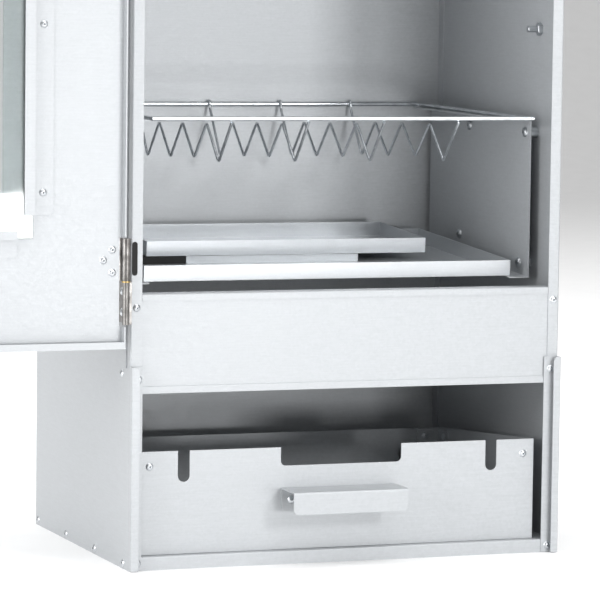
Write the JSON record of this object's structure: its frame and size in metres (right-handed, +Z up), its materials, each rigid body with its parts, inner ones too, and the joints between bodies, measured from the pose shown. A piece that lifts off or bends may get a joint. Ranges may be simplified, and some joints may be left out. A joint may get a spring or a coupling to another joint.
{
  "type": "vertical smoking cabinet",
  "caption": "Upright sheet-metal smoking cabinet with a hinged window door, hanging rack, sloping drip and chip trays, fire drawer and damped flue.",
  "frame": {"origin": "on the ground, at the middle of the front lip's bottom edge", "axes": "+Z up, front faces -Y, +X to the right of somebody at the front; the door stands fully open at rest"},
  "size_m": [0.8217, 0.3485, 0.905],
  "materials": {
    "galvanised_sheet": "galvanised, fine spangle",
    "tray_sheet": "smooth rolled sheet",
    "plated_wire": "bright drawn wire",
    "dark_steel": "bare dark steel",
    "rivet_alloy": "satin",
    "plated_steel": "zinc plated",
    "brass": "satin",
    "clear_glass": "polished, clear",
    "dial_paint": "matt white enamel",
    "pointer_paint": "matt black",
    "black_rubber": "soft, matt",
    "black_grip": "moulded, fine texture",
    "black_paint": "matt black, heat resistant"
  },
  "bodies": {
    "cabinet": {"left_side_panel": "galvanised_sheet", "right_side_panel": "galvanised_sheet", "rear_panel": "galvanised_sheet", "floor_panel": "galvanised_sheet", "roof_panel": "galvanised_sheet", "firewall_band": "galvanised_sheet", "left_cover_guide": "galvanised_sheet", "right_cover_guide": "galvanised_sheet", "hinge_strip": "galvanised_sheet", "slot_plugs": "black_rubber", "shell_rivets": "rivet_alloy", "guide_rivets": "rivet_alloy", "lower_hinge_post": "dark_steel", "upper_hinge_post": "dark_steel", "hinge_pins": "plated_steel", "hinge_washers": "brass", "hinge_rivets": "rivet_alloy", "right_rack_holder": "galvanised_sheet", "left_rack_holder": "galvanised_sheet", "holder_spacers": "plated_steel", "holder_screws": "plated_steel", "holder_nuts": "plated_steel", "rest_bolts": "plated_steel", "rest_nuts": "plated_steel", "flue_collar": "galvanised_sheet"},
    "door": {"door_panel": "galvanised_sheet", "window_glass": "clear_glass", "hinge_side_glass_rail": "galvanised_sheet", "latch_side_glass_rail": "galvanised_sheet", "bottom_glass_rail": "galvanised_sheet", "top_glass_rail": "galvanised_sheet", "lower_hinge_socket": "dark_steel", "upper_hinge_socket": "dark_steel", "door_rivets": "rivet_alloy", "thermometer_case": "plated_steel", "thermometer_dial": "dial_paint", "thermometer_glass": "clear_glass", "thermometer_stem": "plated_steel", "thermometer_nut": "plated_steel", "latch_bush": "plated_steel"},
    "pointer": {"thermometer_pointer": "pointer_paint"},
    "latch": {"latch_handle": "black_grip", "latch_cam": "plated_steel", "latch_nut": "plated_steel"},
    "drawer": {"drawer_front": "galvanised_sheet", "drawer_pan": "galvanised_sheet", "drawer_corner_brackets": "galvanised_sheet", "drawer_handle": "galvanised_sheet", "drawer_rivets": "rivet_alloy"},
    "drip_tray": {"drip_tray": "tray_sheet", "tray_stand": "tray_sheet", "tray_block": "black_paint"},
    "chip_tray": {"chip_tray": "tray_sheet"},
    "rack": {"rack_frame": "plated_wire", "rack_zigzags": "plated_wire"},
    "damper": {"damper_disc": "galvanised_sheet", "damper_spindle": "plated_steel"}
  },
  "joints": [
    {"name": "door_hinge", "type": "hinge", "parent": "cabinet", "child": "door", "pos_m": [-0.2063, -0.0075, 0.5], "axis": [0, 0, -1], "range_deg": [-180, 0]},
    {"name": "latch_turn", "type": "hinge", "parent": "door", "child": "latch", "pos_m": [-0.5926, -0.005, 0.515], "axis": [0, 1, 0], "range_deg": [0, 90]},
    {"name": "pointer_turn", "type": "hinge", "parent": "door", "child": "pointer", "pos_m": [-0.4126, -0.005, 0.735], "axis": [0, 1, 0], "range_deg": [0, 270]},
    {"name": "drawer_slide", "type": "slide", "parent": "cabinet", "child": "drawer", "axis": [0, -1, 0], "range_m": [0, 0.18]},
    {"name": "drip_tray_slide", "type": "slide", "parent": "cabinet", "child": "drip_tray", "axis": [0, -0.9978, -0.0663], "range_m": [0, 0.2]},
    {"name": "chip_tray_lift", "type": "slide", "parent": "drip_tray", "child": "chip_tray", "axis": [0, 0, 1], "range_m": [0, 0.05]},
    {"name": "rack_slide", "type": "slide", "parent": "cabinet", "child": "rack", "axis": [0, -0.9999, -0.0147], "range_m": [0, 0.2]},
    {"name": "damper_turn", "type": "hinge", "parent": "cabinet", "child": "damper", "pos_m": [0, 0.1415, 0.882], "axis": [-1, 0, 0], "range_deg": [0, 90]}
  ]
}
